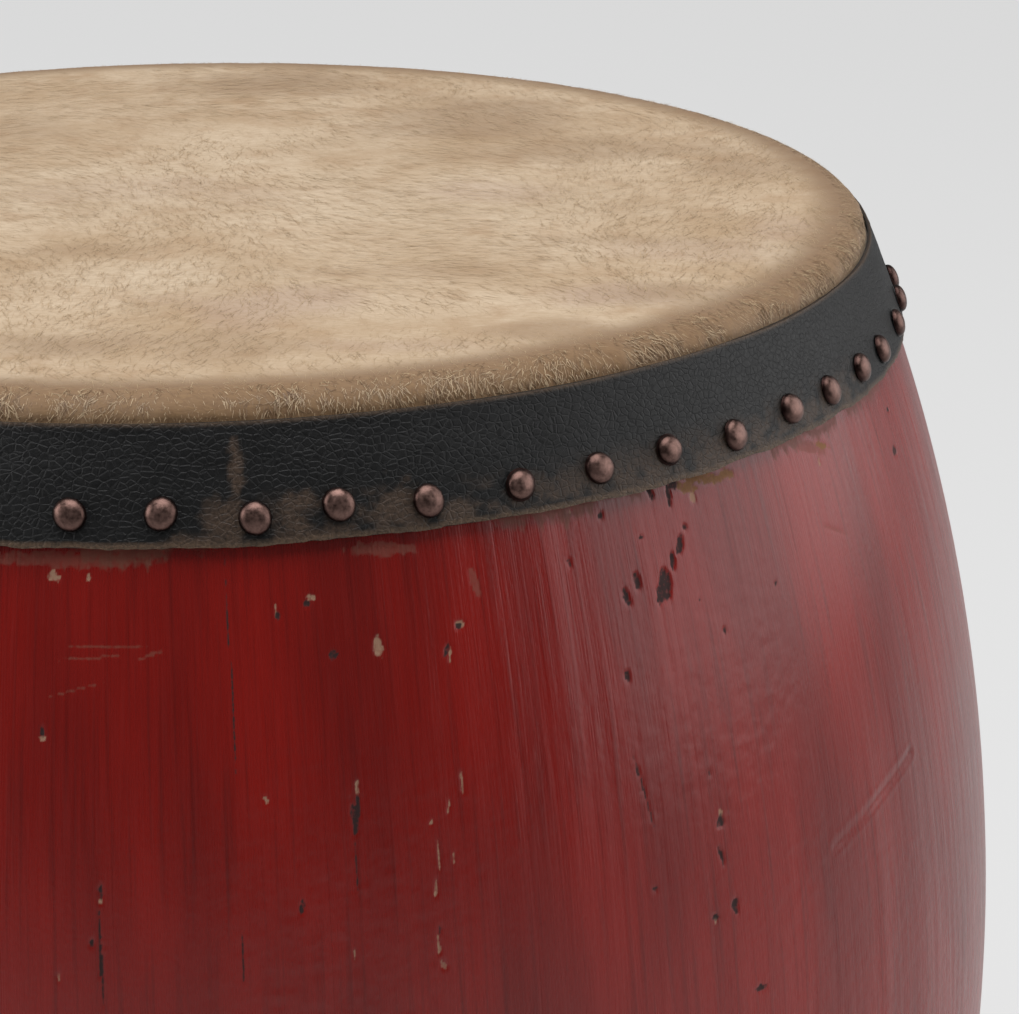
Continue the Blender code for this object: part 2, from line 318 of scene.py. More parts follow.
def placed_marks():
    """Rows of azimuth, level and the mark's own sizes, by kind of mark."""
    kinds = {"bare": BARE_CHIPS, "dark": DARK_CHIPS + HAIR_CRACKS, "worn": WORN_PATCHES,
             "ochre": OCHRE_PATCHES}
    return {kind: [seen_at(row[:2]) + row[2:] for row in rows] for kind, rows in kinds.items()}


def marks_on(azimuth, level, radius, placed):
    """How strongly each kind of mark shows at points of the shell, and how deep they cut."""
    across = azimuth * radius
    ragged = 1 + RAGGED_SHARE * rough_noise(across / RAGGED_WIDTH, level / RAGGED_WIDTH, RAGGED_SEED)
    found = {}
    cut = np.zeros_like(level)
    for kind, rows in placed.items():
        shown = np.zeros_like(level)
        for centre, height, half_length, half_width, lean, depth in rows:
            sideways = (azimuth - centre) * radius
            upwards = level - height
            reach = MARK_REACH * max(half_length, half_width)
            near = (np.abs(sideways) < reach) & (np.abs(upwards) < reach)
            if not near.any():
                continue
            turn = math.radians(lean)
            along = sideways[near] * math.sin(turn) + upwards[near] * math.cos(turn)
            beside = sideways[near] * math.cos(turn) - upwards[near] * math.sin(turn)
            away = np.hypot(along / half_length, beside / half_width) * ragged[near]
            share = smooth_step(MARK_OUTER_EDGE, MARK_INNER_EDGE, away)
            shown[near] = np.maximum(shown[near], share)
            cut[near] = np.maximum(cut[near], share * depth)
        found[kind] = shown
    return found, cut


def dent_in(azimuth, level, radius):
    """Depth of the long dent: a soft groove with a low lip pushed up along either side."""
    start, end = (np.array(seen_at(pixel)) for pixel in (DENT_START, DENT_END))
    middle_radius = radius.mean()
    run = np.array([(end[0] - start[0]) * middle_radius, end[1] - start[1]])
    here = np.stack([(azimuth - start[0]) * middle_radius, level - start[1]], -1)
    share = np.clip(here @ run / (run @ run), 0, 1)
    beside = np.linalg.norm(here - share[..., None] * run, axis=-1) / DENT_WIDTH
    uneven = 1 + DENT_UNEVEN * noise(share * DENT_LUMPS, share * 0, DENT_SEED)
    groove = uneven * np.exp(-DENT_SLOPE * beside ** 2)
    lip = DENT_LIP_HEIGHT * np.exp(-(DENT_SLOPE * (beside - DENT_LIP_PLACE)) ** 2)
    return DENT_DEPTH * (groove - lip)


# Rubbing beside the bands, in millimetres: patches along the rim, their depth and their fringe
WEAR_PATCH, WEAR_SPOT, WEAR_SPOT_SHARE = 34, 9, 0.5
WEAR_LEAST, WEAR_MORE = 3.0, 6.0
WEAR_FRINGE = [(1.0, 1.3, 14), (0.6, 0.7, 9)]
WEAR_FRINGE_REACH = 2.2
WEAR_SEED = 51
LOWER_END_SHIFT = 40.0


def edge_wear(azimuth, level):
    """Rubbed lacquer with a fringe close to either band, all round the drum."""
    to_band = BAND_BOTTOM - MIDDLE - np.abs(level - MIDDLE)
    side = np.where(level > MIDDLE, 0.0, LOWER_END_SHIFT)
    across = azimuth * RIM_RADIUS
    patches = noise(across / WEAR_PATCH + side, side, WEAR_SEED)
    patches = patches + WEAR_SPOT_SHARE * noise(across / WEAR_SPOT, side, WEAR_SEED + 1)
    fringe = layered_noise(WEAR_FRINGE, across, level, WEAR_SEED + 2)
    depth = WEAR_LEAST + WEAR_MORE * np.clip(patches, 0, 1)
    close = smooth_step(depth, depth * 0.3, to_band + WEAR_FRINGE_REACH * fringe)
    return close * smooth_step(0.15, 0.65, patches)


# Relief of the lacquer in millimetres
RIDGE_SWAY = [(1.5, 60, 130)]
BRUSH_RIDGES = [(0.16, 19, 300), (0.105, 7.3, 120), (0.055, 3.1, 70), (0.020, 1.4, 45)]
CRINKLE_HEIGHT, CRINKLE_WIDTH, CRINKLE_LENGTH = 0.09, 4.2, 3.0
CRINKLED_AREAS = [(1, 75, 90)]
JOINT_DEPTH, JOINT_WIDTH = 0.07, 0.8
JOINT_PITCH, JOINT_SHIFT, JOINT_STRETCH = 67.9, 3.7, 140
STAVE_FLATNESS, RUBBED_DEPTH = 0.06, 0.08
RELIEF_SEED = 70


def brush_relief(azimuth, level, stave_side):
    """Height of the lacquer: staves, brush ridges along them and fine crinkles."""
    across = azimuth * BELLY_RADIUS
    sway = layered_noise(RIDGE_SWAY, across, level, RELIEF_SEED)
    lift = layered_noise(BRUSH_RIDGES, across + sway, level, RELIEF_SEED + 1)
    crinkled = layered_noise(CRINKLED_AREAS, across, level, RELIEF_SEED + 5)
    crinkles = rough_noise(across / CRINKLE_WIDTH, level / CRINKLE_LENGTH, RELIEF_SEED + 6, 3)
    lift = lift + smooth_step(-0.2, 0.6, crinkled) * CRINKLE_HEIGHT * crinkles
    to_joint = (1 - np.abs(stave_side)) * math.pi / STAVES * BELLY_RADIUS
    joint = np.round(across / JOINT_PITCH) * JOINT_SHIFT
    opened = 0.5 + 0.5 * noise(joint, level / JOINT_STRETCH, RELIEF_SEED + 7)
    lift = lift - JOINT_DEPTH * opened * np.exp(-(to_joint / JOINT_WIDTH) ** 2)
    return lift - STAVE_FLATNESS * stave_side ** 2


# Where the photograph sees the shell, and how close a stave's points lie there and elsewhere
SEEN_LOW = 235.0
SEEN_FROM, SEEN_TO = math.radians(-26), math.radians(103)
SEEN_STEP, SEEN_COLUMNS = 0.85, 96
BELOW_SEEN_STEP = 2.6
UNSEEN_STEP, UNSEEN_COLUMNS = 2.8, 34

# A stave's levels under the band and hide: how far past the band's edge they start, and how many
UNDER_BAND, UNDER_HIDE, COVERED_ROWS = 3, 9, 7
STAVE_END_GAP = 0.5


def stave_levels(fine):
    """Levels of a stave's points, close together where the photograph looks."""
    end = BAND_BOTTOM + UNDER_BAND
    covered = np.linspace(BAND_BOTTOM + UNDER_HIDE, HEIGHT - HIDE_FLAT - STAVE_END_GAP, COVERED_ROWS)
    if fine:
        shown = np.concatenate([np.arange(HEIGHT - end, SEEN_LOW, BELOW_SEEN_STEP),
                                np.arange(SEEN_LOW, end, SEEN_STEP)])
    else:
        shown = np.arange(HEIGHT - end, end, UNSEEN_STEP)
    return np.concatenate([(HEIGHT - covered)[::-1], shown, covered])


def rounded_end(level, radius):
    """The shell's radius with the stave ends rounded under the hide."""
    top = HEIGHT - HIDE_FLAT - CLEARANCE
    over = np.clip((np.abs(level - MIDDLE) + MIDDLE - BAND_TOP) / (top - BAND_TOP), 0, 1)
    return np.where(over > 0, CREST_RADIUS + (RIM_WOOD - CREST_RADIUS) * np.sqrt(1 - over ** 2), radius)


def make_stave(index, placed, material):
    """One stave: a finely modelled lacquered face on a solid with plain sides and back.

    Staves are counted from +X towards +Y, as the part has them.
    """
    half = math.pi / STAVES
    centre = QUARTER_TURN + (2 * index + 1) * half
    centre = (centre + math.pi) % FULL_TURN - math.pi
    fine = SEEN_FROM < centre < SEEN_TO
    levels = stave_levels(fine)
    columns = SEEN_COLUMNS if fine else UNSEEN_COLUMNS
    level, side = np.meshgrid(levels, np.linspace(-1, 1, columns), indexing="ij")
    plain = shell_radius(level)
    azimuth = centre + side * (half - GLUE_LINE / 2 / plain)
    marks, cut = marks_on(azimuth, level, plain, placed)
    cut = cut + dent_in(azimuth, level, plain)
    marks["rubbed"] = edge_wear(azimuth, level)
    marks["lie"] = np.stack([azimuth * BELLY_RADIUS, level, 0 * level], -1)
    radius = rounded_end(level, plain) + brush_relief(azimuth, level, side)
    radius = radius - cut - RUBBED_DEPTH * marks["rubbed"]

    back = np.stack([rounded_end(levels, shell_radius(levels)) - STAVE_WALL] * 2, -1)
    back_azimuth = np.stack([azimuth[:, 0], azimuth[:, -1]], -1)
    points = np.concatenate([around(radius, azimuth, level).reshape(-1, 3),
                             around(back, back_azimuth, np.stack([levels] * 2, -1)).reshape(-1, 3)])
    rows = len(levels)
    hidden = rows * columns
    row = np.arange(rows - 1)
    left, right = row * columns, row * columns + columns - 1
    back_left, back_right = hidden + 2 * row, hidden + 2 * row + 1
    quads = np.concatenate([
        grid_quads(rows, columns),
        np.stack([back_left + 2, back_right + 2, back_right, back_left], -1),
        np.stack([back_left, left, left + columns, back_left + 2], -1),
        np.stack([right, back_right, back_right + 2, right + columns], -1),
    ])
    top = list(range(hidden - columns, hidden)) + [hidden + 2 * rows - 1, hidden + 2 * rows - 2]
    bottom = (list(range(columns)) + [hidden + 1, hidden])[::-1]
    name = f"stave_{index + 1:02d}"
    piece = make_piece("lacquered_" + name, points, quads, [top, bottom], material, padded(marks, 2 * rows))
    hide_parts(name)


# Patches on the upper hide: photograph pixel, half width and half depth in millimetres, strength
BROWN_PATCHES = [
    (265, 82, 45, 30, 0.9), (470, 118, 38, 40, 0.8), (585, 150, 60, 22, 0.6), (655, 292, 20, 16, 0.8),
    (70, 345, 28, 14, 0.8), (240, 345, 30, 16, 0.5), (560, 330, 22, 10, 0.8), (740, 165, 30, 20, 0.6),
    (90, 250, 26, 10, 0.5), (640, 240, 40, 10, 0.4), (430, 270, 36, 10, 0.4), (20, 130, 22, 26, 0.4),
]
PINK_PATCHES = [
    (280, 305, 32, 22, 0.7), (500, 190, 24, 16, 0.5), (150, 190, 50, 20, 0.3), (600, 295, 24, 16, 0.7),
    (790, 225, 14, 20, 0.5), (400, 345, 30, 8, 0.4), (700, 250, 30, 16, 0.4),
]
PALE_PATCHES = [
    (420, 200, 70, 50, 0.6), (180, 280, 40, 26, 0.5), (60, 190, 60, 40, 0.5), (780, 250, 12, 20, 0.8),
    (330, 150, 60, 30, 0.3), (540, 250, 40, 20, 0.4),
]
PATCH_WOBBLE, PATCH_WOBBLE_WIDTH = 0.55, 26
PATCH_OUTER_EDGE, PATCH_INNER_EDGE = 1.5, 0.3

# Relief of a hide in millimetres, with its shoulder's lumps as wide as their share of a radian
HIDE_SWELLS = [(0.35, 55, 55), (0.12, 17, 17)]
HIDE_SINK = 0.3
SHOULDER_LUMPS = [(0.55, 1 / 24, 9), (0.35, 1 / 70, 4), (0.16, 1 / 230, 3)]
SHOULDER_LUMP_SHARE = 0.9
SHOULDER_START, SHOULDER_FULL = CREST_RADIUS - 14, CREST_RADIUS + 2
HIDE_COLUMNS = 900
UPPER_HIDE_SEED, LOWER_HIDE_SEED = 90, 190

# A hide's rings: first and last radius in millimetres and count on its flat, then further counts
FLAT_RINGS = ((5, 200, 46), (203, CREST_RADIUS - 4, 20))
RIM_RINGS, SKIRT_RINGS = 16, 6
BACK_RADII = [150, 5]


def patch_strength(x, y, patches, seed):
    """How strongly soft patches of one colour show at points of the hide's flat."""
    total = np.zeros_like(x)
    wobble = rough_noise(x / PATCH_WOBBLE_WIDTH, y / PATCH_WOBBLE_WIDTH, seed)
    for *pixel, half_width, half_depth, strength in patches:
        centre = seen_on_head(pixel)
        away = np.hypot((x - centre[0]) / half_width, (y - centre[1]) / half_depth)
        away = away + PATCH_WOBBLE * wobble
        total = np.maximum(total, strength * smooth_step(PATCH_OUTER_EDGE, PATCH_INNER_EDGE, away))
    return total


def head_outline():
    """(radius, level) of the upper hide's rings from its middle round the rim and back inside.

    The third value counts the rings of the flat and the rim.
    """
    flat = np.concatenate([np.linspace(*run) for run in FLAT_RINGS])
    turn = np.linspace(0, QUARTER_TURN, RIM_RINGS)
    rim = CREST_RADIUS + (HIDE_SIDE - CREST_RADIUS) * np.sin(turn)
    rim_level = BAND_TOP + (HEIGHT - BAND_TOP) * np.cos(turn)
    skirt_level = np.linspace(BAND_TOP - 2, BAND_BOTTOM + 3, SKIRT_RINGS)
    skirt = shell_radius(skirt_level) + CLEARANCE + HIDE_SKIRT
    inner_skirt_level = skirt_level[::-1][[0, 3, 5]]
    inner_skirt = shell_radius(inner_skirt_level) + CLEARANCE
    inner_turn = turn[::-5]
    inner_rim = CREST_RADIUS + (HIDE_SIDE - HIDE_SKIRT - CREST_RADIUS) * np.sin(inner_turn)
    inner_rim_level = BAND_TOP + (HEIGHT - HIDE_FLAT - BAND_TOP) * np.cos(inner_turn)
    radius = np.concatenate([flat, rim, skirt, inner_skirt, inner_rim, BACK_RADII])
    level = np.concatenate([flat * 0 + HEIGHT, rim_level, skirt_level, inner_skirt_level,
                            inner_rim_level, [HEIGHT - HIDE_FLAT] * len(BACK_RADII)])
    return radius, level, len(flat) + len(rim)


def make_head(name, upper, material):
    """A raw cowhide cup: gently uneven top, lumpy shoulder and skirt under the band."""
    outline_radius, outline_level, showing_rings = head_outline()
    azimuth = np.linspace(-math.pi, math.pi, HIDE_COLUMNS, endpoint=False)
    radius, turn = np.meshgrid(outline_radius, azimuth, indexing="ij")
    level = np.repeat(outline_level[:, None], HIDE_COLUMNS, 1)
    x, y = radius * np.sin(turn), -radius * np.cos(turn)
    rows = len(outline_radius)
    showing = (np.arange(rows) < showing_rings)[:, None]
    shoulder = smooth_step(SHOULDER_START, SHOULDER_FULL, radius) * showing
    seed = UPPER_HIDE_SEED if upper else LOWER_HIDE_SEED
    lumps = layered_noise(SHOULDER_LUMPS, turn, level, seed + 2)
    if upper:
        swells = layered_noise(HIDE_SWELLS, x, y, seed)
        level = level + showing * (swells - HIDE_SINK) * (1 - shoulder)
    radius = radius + shoulder * lumps * SHOULDER_LUMP_SHARE
    points = around(radius, turn, level).reshape(-1, 3)
    marks = {
        "brown": patch_strength(x, y, BROWN_PATCHES, seed + 6) * (1 - 0.5 * shoulder),
        "pink": patch_strength(x, y, PINK_PATCHES, seed + 7),
        "pale": patch_strength(x, y, PALE_PATCHES, seed + 8),
        "shoulder": shoulder * np.ones_like(x),
    }
    quads = grid_quads(rows, HIDE_COLUMNS, wrap=True)[:, ::-1]
    top = list(range(HIDE_COLUMNS))
    underside = list(range((rows - 1) * HIDE_COLUMNS, rows * HIDE_COLUMNS))[::-1]
    if not upper:
        points = at_lower_end(points)
    piece = make_piece("cowhide_" + name, points, quads, [top, underside], material, padded(marks, 0))
    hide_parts(name)


# A hair: its steps as shares of its length, the turn of its lift, its root's depth in millimetres,
# and the half width at its root and what that loses to the tip as shares of its width
HAIR_STEPS = (0.0, 0.45, 1.0)
HAIR_LIFT_TURN = 1.6
HAIR_ROOT_DEPTH = 0.15
HAIR_ROOT_WIDTH, HAIR_TAPER = 0.55, 0.42

# The coat: count of hairs, then least and most length, width and lift in millimetres
FLAT_COAT = (26000, (4, 9), (0.12, 0.22), (0.04, 0.2))
RIM_COAT = (17000, (2.5, 5.5), (0.18, 0.34), (0.2, 0.8))
COAT_WHORL_WIDTH = 90
COAT_SEED = 200


def make_hair(name, roots, outward, combed, length, width, lift, tone, material):
    """Flat tapering hairs: each starts in the hide, bends along its combed way and ends in a point."""
    side = np.cross(combed, outward)
    side /= np.linalg.norm(side, axis=1, keepdims=True)
    edges = []
    for step in HAIR_STEPS:
        rise = (lift * step * (HAIR_LIFT_TURN - step))[:, None] - HAIR_ROOT_DEPTH * (1 - step)
        middle = roots + combed * (length * step)[:, None] + outward * rise
        half = (width * (HAIR_ROOT_WIDTH - HAIR_TAPER * step))[:, None]
        edges += [middle - side * half, middle + side * half]
    points = np.stack(edges, 1).reshape(-1, 3)
    base = np.arange(len(roots))[:, None] * len(edges)
    quads = np.concatenate([base + np.array([[0, 1, 3, 2]]), base + np.array([[2, 3, 5, 4]])])
    piece = make_piece(name, points, quads, (), material, {"tone": np.repeat(tone, len(edges))})


def lay_flat_hair(rng, material):
    """Short hair combed in slow whorls over the top."""
    count, *reaches = FLAT_COAT
    radius = (CREST_RADIUS - 3) * np.sqrt(rng.random(count))
    turn = rng.uniform(-math.pi, math.pi, count)
    roots = around(radius, turn, np.full(count, HEIGHT + 0.02))
    whorl = noise(roots[:, 0] / COAT_WHORL_WIDTH, roots[:, 1] / COAT_WHORL_WIDTH, COAT_SEED)
    way = 0.9 + 1.3 * whorl + 0.35 * rng.normal(size=count)
    combed = np.stack([np.cos(way), -np.sin(way), 0 * way], -1)
    outward = np.tile([0.0, 0.0, 1.0], (count, 1))
    length, width, lift = (rng.uniform(*reach, count) for reach in reaches)
    tone = 0.6 + 0.4 * rng.random(count)
    make_hair("hair_on_upper_flat", roots, outward, combed, length, width, lift, tone, material)


def comb_rim_hair(upper, rng, material):
    """Fluffier hair combed down over the shoulder, shorter towards the band."""
    count, *reaches = RIM_COAT
    bend = rng.uniform(0.0, QUARTER_TURN, count) ** 0.85
    turn = rng.uniform(-math.pi, math.pi, count)
    radius = CREST_RADIUS + (HIDE_SIDE - CREST_RADIUS) * np.sin(bend)
    roots = around(radius, turn, BAND_TOP + (HEIGHT - BAND_TOP) * np.cos(bend))
    outward = around(np.sin(bend), turn, np.cos(bend))
    down = around(np.cos(bend), turn, -np.sin(bend))
    beside = np.stack([np.cos(turn), np.sin(turn), 0 * turn], -1)
    sway = 0.9 * noise(turn * 14, bend * 2, COAT_SEED + 10) + 0.45 * rng.normal(size=count)
    combed = down * np.cos(sway)[:, None] + beside * np.sin(sway)[:, None]
    length, width, lift = (rng.uniform(*reach, count) for reach in reaches)
    length = length * np.clip(1.25 - bend / 2, 0.5, 1)
    lift = lift * np.sin(bend + 0.3)
    if not upper:
        roots, outward, combed = at_lower_end(roots), turned_over(outward), turned_over(combed)
    name = "hair_on_upper_shoulder" if upper else "hair_on_lower_shoulder"
    make_hair(name, roots, outward, combed, length, width, lift, rng.random(count), material)


def head_hair(upper, material):
    """The coat of one head: over its top where that shows, and over its shoulder."""
    rng = np.random.default_rng(5 if upper else 6)
    if upper:
        lay_flat_hair(rng, material)
    comb_rim_hair(upper, rng, material)


# Worn places on the upper band, in photograph pixels, with half width and half height in millimetres
BAND_WEAR = [
    (200, 545, 9, 3.0), (232, 520, 7, 6.0), (295, 524, 5, 5.0), (300, 502, 6, 3.0), (330, 538, 12, 3.5),
    (398, 512, 10, 7.0), (460, 512, 6, 4.0), (480, 532, 8, 2.5), (520, 520, 8, 1.6), (100, 547, 34, 1.0),
    (236, 470, 2.0, 8.0), (540, 512, 18, 1.2), (10, 545, 12, 1.0), (620, 492, 12, 1.0),
]

# Relief of the leather in millimetres; the edges' layers run along it only
PEBBLE_HEIGHT, PEBBLE_WIDTH, PEBBLE_LENGTH = 0.10, 6.5, 5.0
BROAD_WAVES = [(0.16, 28, 14)]
CRACKS, CRACK_DEPTH, CRACK_EDGE = [(1, 5.2, 4.1)], 0.10, 0.14
LIP_HEIGHT, LIP_WIDTH = 0.35, 1.1
RAW_EDGE, UPPER_EDGE = [(0.45, 11, 1), (0.25, 2.5, 1)], [(0.25, 30, 1)]
CUT_EDGE_ROUNDING = 0.35
FRAY, FRAY_WIDTH, FRAY_LENGTH = 0.6, 3.0, 2.4
BAND_COLUMNS, BAND_ROWS = 1400, 32
BAND_HEIGHT = 34.5
UPPER_BAND_SEED, LOWER_BAND_SEED = 300, 340


def band_wear(turn, level, across, share, upper, seed):
    """How strongly worn leather shows: where the photograph has it, and in small spots all round."""
    worn = np.zeros_like(level)
    if upper:
        fray = FRAY * rough_noise(across / FRAY_WIDTH, level / FRAY_LENGTH, seed + 8)
        for *pixel, half_width, half_height in BAND_WEAR:
            centre, height = seen_at(pixel, LAYERS_ON_WOOD)
            away = np.hypot((turn - centre) * RIM_RADIUS / half_width, (level - height) / half_height)
            worn = np.maximum(worn, smooth_step(1.3, 0.5, away + fray))
    scatter = noise(across / 46, 0 * across, seed + 9) + 0.6 * rough_noise(across / 4, level / 3, seed + 10)
    return np.maximum(worn, 0.8 * smooth_step(0.45, 0.9, scatter) * smooth_step(0.5, 0.1, share))


def make_band(name, upper, material):
    """A leather strip round the skirt: creased outside, raw lower edge, raised lip at the top."""
    levels = np.linspace(BAND_BOTTOM, BAND_TOP, BAND_ROWS)
    inner_levels = np.array([BAND_TOP, (BAND_TOP + BAND_BOTTOM) / 2, BAND_BOTTOM])
    turn_line = np.linspace(-math.pi, math.pi, BAND_COLUMNS, endpoint=False)
    level, turn = np.meshgrid(levels, turn_line, indexing="ij")
    seed = UPPER_BAND_SEED if upper else LOWER_BAND_SEED
    across = turn * RIM_RADIUS
    share = (level - BAND_BOTTOM) / (BAND_TOP - BAND_BOTTOM)

    creases = PEBBLE_HEIGHT * rough_noise(across / PEBBLE_WIDTH, level / PEBBLE_LENGTH, seed, 3)
    creases = creases + layered_noise(BROAD_WAVES, across, level, seed + 3)
    to_crack = np.abs(layered_noise(CRACKS, across, level, seed + 4))
    creases = creases - CRACK_DEPTH * smooth_step(CRACK_EDGE, 0.0, to_crack)
    lip = LIP_HEIGHT * np.exp(-((1 - share) * BAND_HEIGHT / LIP_WIDTH) ** 2)
    raw_edge = layered_noise(RAW_EDGE, across, 0 * across, seed + 5)
    upper_edge = layered_noise(UPPER_EDGE, across, 0 * across, seed + 7)
    level = level - raw_edge * smooth_step(0.12, 0.0, share) + upper_edge * smooth_step(0.9, 1.0, share)
    rounding = CUT_EDGE_ROUNDING * (smooth_step(0.035, 0.0, share) + smooth_step(0.975, 1.0, share))
    radius = shell_radius(level) + LAYERS_ON_WOOD + creases + lip - rounding

    inner_level, inner_turn = np.meshgrid(inner_levels, turn_line, indexing="ij")
    inner_radius = shell_radius(inner_level) + LAYERS_ON_WOOD - BAND_LEATHER
    points = np.concatenate([around(radius, turn, level).reshape(-1, 3),
                             around(inner_radius, inner_turn, inner_level).reshape(-1, 3)])
    marks = {
        "worn": band_wear(turn, level, across, share, upper, seed),
        "edge": np.maximum(smooth_step(0.05, 0.02, share), 0.7 * smooth_step(0.965, 0.985, share)),
        "lie": np.stack([across, level, 0 * level], -1),
    }
    rows = len(levels) + len(inner_levels)
    column = np.arange(BAND_COLUMNS)
    after = (column + 1) % BAND_COLUMNS
    last = (rows - 1) * BAND_COLUMNS
    closing = np.stack([last + column, last + after, after, column], -1)
    quads = np.concatenate([grid_quads(rows, BAND_COLUMNS, wrap=True), closing])
    if not upper:
        points = at_lower_end(points)
    marks = padded(marks, len(inner_levels) * BAND_COLUMNS)
    piece = make_piece("leather_" + name, points, quads, (), material, marks)
    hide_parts(name)


# Where the photograph shows the middles of the upper tacks' heads, from the left
TACK_PIXELS = [
    (68.8, 516.4), (160.5, 515.6), (255.6, 519.7), (339.5, 506.3), (430.2, 502.2), (522.3, 486.2),
    (601.6, 469.3), (671.5, 450.9), (738, 436), (794, 409.6), (833.2, 391), (864, 368.5), (884, 349.5),
]

# A tack in millimetres: its head's radius, the heights of its dome and rim, its flat tip's radius,
# and its shank's depths with half widths
TACK_HEAD, TACK_DOME = 5.15, 3.1
TACK_RIM_EDGE, TACK_RIM_TOP, TACK_TIP = 0.15, 0.35, 0.25
TACK_SHANK = ((-0.1, 1.0), (-11.0, 1.0), (-13.0, 0.2))

# Shares of the head's radius: under the rim and at the dome's foot, less with a flange
TACK_UNDER, TACK_FOOT, FLANGED_FOOT = 0.93, 0.97, 0.93
TACK_FULLNESS = 0.9
TACK_COLUMNS, TACK_RINGS = 28, 11

# How unlike the tacks are
FLANGED_SHARE, OUT_OF_ROUND = 0.3, 0.025
TACK_DENT_DEPTH, TACK_DENT_WIDTH, TACK_DENT_SEED = 0.10, 1.6, 400
TACK_TILT, TACK_LIFT = 0.03, 0.12
TACK_STRAY_SHARE, TACK_STRAY_UP = 0.1, 0.6
TACK_MIDDLE_LAYER = LAYERS_ON_WOOD + 1.5


def tack_places(upper):
    """(azimuth, level) of each tack: as photographed where it shows, else set evenly."""
    rng = np.random.default_rng(11 if upper else 12)
    step = FULL_TURN / TACKS
    places = [[(index + 0.5) * step, BAND_BOTTOM + TACK_RISE] for index in range(TACKS)]
    for place in places:
        place[0] += rng.normal() * TACK_STRAY_SHARE * step
        place[1] += rng.normal() * TACK_STRAY_UP
    if upper:
        for pixel in TACK_PIXELS:
            azimuth, level = seen_at(pixel, TACK_MIDDLE_LAYER)
            places[int(round(azimuth / step - 0.5)) % TACKS] = [azimuth, level]
    return places


def tack_head_shape(rng):
    """(beside, up, height) of the rings of one head: a dome on a thin rim."""
    flanged = rng.random() < FLANGED_SHARE
    bend = np.linspace(0, QUARTER_TURN, TACK_RINGS - 2)
    radius = np.concatenate([[TACK_HEAD * TACK_UNDER, TACK_HEAD],
                             TACK_HEAD * TACK_FOOT * np.cos(bend) ** TACK_FULLNESS])
    height = np.concatenate([[0.0, TACK_RIM_EDGE],
                             TACK_RIM_TOP + (TACK_DOME - TACK_RIM_TOP) * np.sin(bend)])
    if flanged:
        radius[2:] *= FLANGED_FOOT
    radius[-1] = TACK_TIP
    ring = np.linspace(0, FULL_TURN, TACK_COLUMNS, endpoint=False)
    height, turn = np.meshgrid(height, ring, indexing="ij")
    radius = radius[:, None] * (1 + OUT_OF_ROUND * rng.normal() * np.cos(2 * turn + rng.uniform(0, 6)))
    side, up = radius * np.cos(turn), radius * np.sin(turn)
    dents = rough_noise(side / TACK_DENT_WIDTH + 50 * rng.random(), up / TACK_DENT_WIDTH, TACK_DENT_SEED, 3)
    height = height - TACK_DENT_DEPTH * np.abs(dents) * (height > 0.2) * height / TACK_DOME
    tilt = rng.normal(size=2) * TACK_TILT
    seat = TACK_LIFT + np.abs(tilt).sum() * TACK_HEAD * 0.7
    return side, up, height + seat + tilt[0] * side + tilt[1] * up


def make_tacks(name, upper, material):
    """Pressed domed heads, each a little out of round, dented and tilted, on square shanks."""
    rng = np.random.default_rng(21 if upper else 22)
    points, quads, polygons, marks = [], [], [], []
    start = 0
    for azimuth, level in tack_places(upper):
        side, up, height = tack_head_shape(rng)
        lean = shell_lean(level)
        flat = np.array([math.sin(azimuth), -math.cos(azimuth), 0])
        beside = np.array([math.cos(azimuth), math.sin(azimuth), 0])
        outward = flat * math.cos(lean) + np.array([0, 0, math.sin(lean)])
        upward = np.array([0, 0, math.cos(lean)]) - flat * math.sin(lean)
        middle = flat * (shell_radius(level) + LAYERS_ON_WOOD) + np.array([0, 0, level])
        head = middle + height[..., None] * outward + side[..., None] * beside + up[..., None] * upward
        points.append(head.reshape(-1, 3))
        marks.append((height / TACK_DOME).reshape(-1))
        quads.append(grid_quads(TACK_RINGS, TACK_COLUMNS, start, wrap=True))
        shank_start = start + TACK_RINGS * TACK_COLUMNS
        polygons.append(list(range(start, start + TACK_COLUMNS))[::-1])
        polygons.append(list(range(shank_start - TACK_COLUMNS, shank_start)))

        shank = [middle + depth * outward + w * beside + h * upward for depth, half in TACK_SHANK
                 for w, h in ((-half, -half), (half, -half), (half, half), (-half, half))]
        points.append(np.array(shank))
        marks.append(np.zeros(len(shank)))
        quads.append(grid_quads(len(TACK_SHANK), 4, shank_start, wrap=True)[:, ::-1])
        start = shank_start + len(shank)
        polygons.append(list(range(shank_start, shank_start + 4)))
        polygons.append(list(range(start - 4, start))[::-1])
    points = np.concatenate(points)
    if not upper:
        points = at_lower_end(points)
    piece = make_piece("domed_" + name, points, np.concatenate(quads), polygons, material,
                       {"crown": np.concatenate(marks)})
    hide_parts(name)


def linear(hex_color):
    """A linear colour with full alpha from an sRGB hex value."""
    channels = [int(hex_color[start:start + 2], 16) / 255 for start in (1, 3, 5)]
    return [c / 12.92 if c <= 0.04045 else ((c + 0.055) / 1.055) ** 2.4 for c in channels] + [1.0]


def add(tree, kind, sockets=None, **settings):
    """Adds a node with its settings; a socket takes a value, or another node's output as its link."""
    node = tree.nodes.new(kind)
    for key, value in settings.items():
        setattr(node, key, value)
    for key, value in (sockets or {}).items():
        if isinstance(value, bpy.types.NodeSocket):
            tree.links.new(value, node.inputs[key])
        else:
            node.inputs[key].default_value = value
    return node


def attribute(tree, name, output="Fac"):
    """What the mesh's points carry under a name."""
    return add(tree, "ShaderNodeAttribute", attribute_name=name).outputs[output]


def arithmetic(tree, operation, *values):
    """One step of arithmetic on numbers or other nodes' outputs."""
    return add(tree, "ShaderNodeMath", dict(enumerate(values)), operation=operation).outputs[0]


